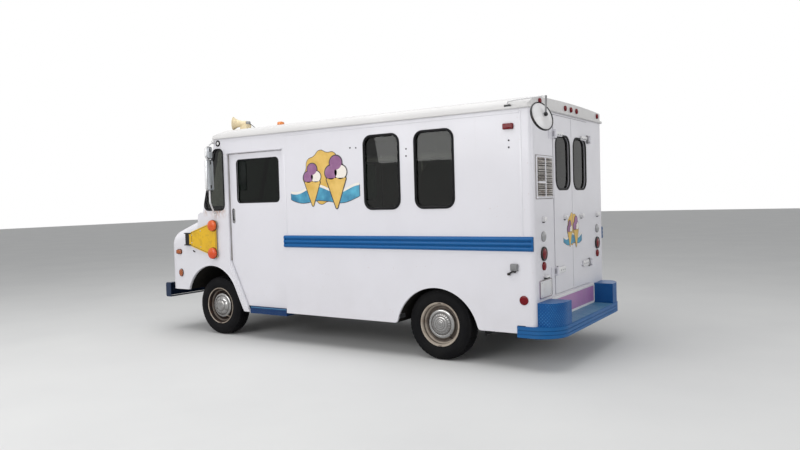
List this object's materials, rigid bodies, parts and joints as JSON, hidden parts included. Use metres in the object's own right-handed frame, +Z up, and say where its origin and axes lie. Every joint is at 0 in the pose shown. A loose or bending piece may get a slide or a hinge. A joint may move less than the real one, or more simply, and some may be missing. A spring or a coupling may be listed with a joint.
{
  "type": "ice cream truck",
  "caption": "Walk-in ice cream truck with sliding cab doors, double rear doors, side windows, rub rails, step bumper and a swing-out warning sign.",
  "frame": {"origin": "on the road, midway between the bumpers and on the truck's centre line", "axes": "+X forwards to the nose, +Y to the driver's left, +Z up"},
  "size_m": [5.4114, 2.5962, 2.6896],
  "materials": {
    "body_white": "gloss white paint, a little aged",
    "roof_white": "satin white paint",
    "blue_paint": "gloss blue paint",
    "navy_paint": "dark blue paint",
    "tread_plate": "painted raised tread plate",
    "gasket": "black rubber",
    "tyre": "black tyre rubber",
    "glass": "clear glass",
    "wheel_steel": "dark steel wheel with bright hubcap",
    "chassis_black": "matt black chassis paint",
    "cast_iron": "rough cast iron",
    "spring_steel": "oiled spring steel",
    "exhaust_steel": "rusty steel",
    "floor_metal": "undersealed sheet",
    "lamp_clear": "lamp lens",
    "lamp_red": "red lens",
    "black_metal": "black enamel",
    "yellow_paint": "yellow enamel",
    "bright_metal": "bright anodised metal",
    "mirror_metal": "mirror glass in white housings",
    "cream_plastic": "cream plastic",
    "dash_grey": "dark grained plastic",
    "vinyl": "black vinyl",
    "appliance_white": "white enamel",
    "board_mauve": "blank mauve board"
  },
  "bodies": {
    "body": {"chassis_frame": "chassis_black", "leaf_springs": "spring_steel", "front_axle": "cast_iron", "rear_axle": "cast_iron", "engine": "cast_iron", "exhaust": "exhaust_steel", "fuel_tank": "chassis_black", "floor": "floor_metal", "wheel_houses": "floor_metal", "left_side_panel": "body_white", "right_side_panel": "body_white", "front_fenders": "body_white", "grille": "bright_metal", "cab_front": "body_white", "fixed_glass": "glass", "window_gaskets": "gasket", "serving_counter": "bright_metal", "roof_cap": "roof_white", "rear_frame": "body_white", "door_steps": "blue_paint", "rub_rails": "blue_paint", "front_bumper": "navy_paint", "rear_bumper": "blue_paint", "bumper_boxes": "tread_plate", "step_plate": "tread_plate", "front_lamps": "lamp_clear", "rear_lamps": "lamp_red", "vent_louvre": "body_white", "rear_plates": "board_mauve", "mirrors": "mirror_metal", "sign_bracket": "black_metal", "roof_horn": "cream_plastic", "driver_seat": "vinyl", "steering_wheel": "black_metal", "dashboard": "dash_grey", "engine_cover": "dash_grey", "shelf": "appliance_white", "freezer": "appliance_white", "firewall": "floor_metal"},
    "left_cab_door_body": {"left_cab_door": "body_white", "left_cab_door_glass": "glass"},
    "left_rear_door_body": {"left_rear_door": "body_white", "left_rear_door_glass": "glass"},
    "left_steer": {"left_knuckle": "cast_iron"},
    "front_left_roll": {"front_left_wheel": "wheel_steel", "front_left_tyre": "tyre"},
    "rear_left_roll": {"rear_left_wheel": "wheel_steel", "rear_left_tyre": "tyre"},
    "right_cab_door_body": {"right_cab_door": "body_white", "right_cab_door_glass": "glass"},
    "right_rear_door_body": {"right_rear_door": "body_white", "right_rear_door_glass": "glass"},
    "right_steer": {"right_knuckle": "cast_iron"},
    "front_right_roll": {"front_right_wheel": "wheel_steel", "front_right_tyre": "tyre"},
    "rear_right_roll": {"rear_right_wheel": "wheel_steel", "rear_right_tyre": "tyre"},
    "hood_body": {"hood": "body_white"},
    "sign_body": {"sign_arm": "yellow_paint"}
  },
  "joints": [
    {"name": "left_cab_door_slide", "type": "slide", "parent": "body", "child": "left_cab_door_body", "axis": [-1, 0, 0], "range_m": [0, 0.85]},
    {"name": "left_rear_door_hinge", "type": "hinge", "parent": "body", "child": "left_rear_door_body", "pos_m": [-2.5175, 0.515, 1.53], "axis": [0, 0, -1], "range_deg": [0, 175]},
    {"name": "left_steering", "type": "hinge", "parent": "body", "child": "left_steer", "pos_m": [1.7475, 0.715, 0.36], "axis": [0, 0, 1], "range_deg": [-32, 32]},
    {"name": "front_left_wheel_spin", "type": "hinge", "parent": "left_steer", "child": "front_left_roll", "pos_m": [1.7475, 0.845, 0.36], "axis": [0, 1, 0], "continuous": true},
    {"name": "rear_left_wheel_spin", "type": "hinge", "parent": "body", "child": "rear_left_roll", "pos_m": [-1.4275, 0.845, 0.36], "axis": [0, 1, 0], "continuous": true},
    {"name": "right_cab_door_slide", "type": "slide", "parent": "body", "child": "right_cab_door_body", "axis": [-1, 0, 0], "range_m": [0, 0.85]},
    {"name": "right_rear_door_hinge", "type": "hinge", "parent": "body", "child": "right_rear_door_body", "pos_m": [-2.5175, -0.515, 1.53], "axis": [0, 0, 1], "range_deg": [0, 175]},
    {"name": "right_steering", "type": "hinge", "parent": "body", "child": "right_steer", "pos_m": [1.7475, -0.715, 0.36], "axis": [0, 0, 1], "range_deg": [-32, 32]},
    {"name": "front_right_wheel_spin", "type": "hinge", "parent": "right_steer", "child": "front_right_roll", "pos_m": [1.7475, -0.845, 0.36], "axis": [0, 1, 0], "continuous": true},
    {"name": "rear_right_wheel_spin", "type": "hinge", "parent": "body", "child": "rear_right_roll", "pos_m": [-1.4275, -0.845, 0.36], "axis": [0, 1, 0], "continuous": true},
    {"name": "hood_hinge", "type": "hinge", "parent": "body", "child": "hood_body", "pos_m": [2.0555, 0, 1.44384], "axis": [0, -1, 0], "range_deg": [0, 55]},
    {"name": "sign_hinge", "type": "hinge", "parent": "body", "child": "sign_body", "pos_m": [2.1495, 1.033, 1.196], "axis": [0, 0, -1], "range_deg": [0, 90]}
  ],
  "couplings": [
    {"joint": "right_steering", "follows": "left_steering", "ratio": 1}
  ]
}
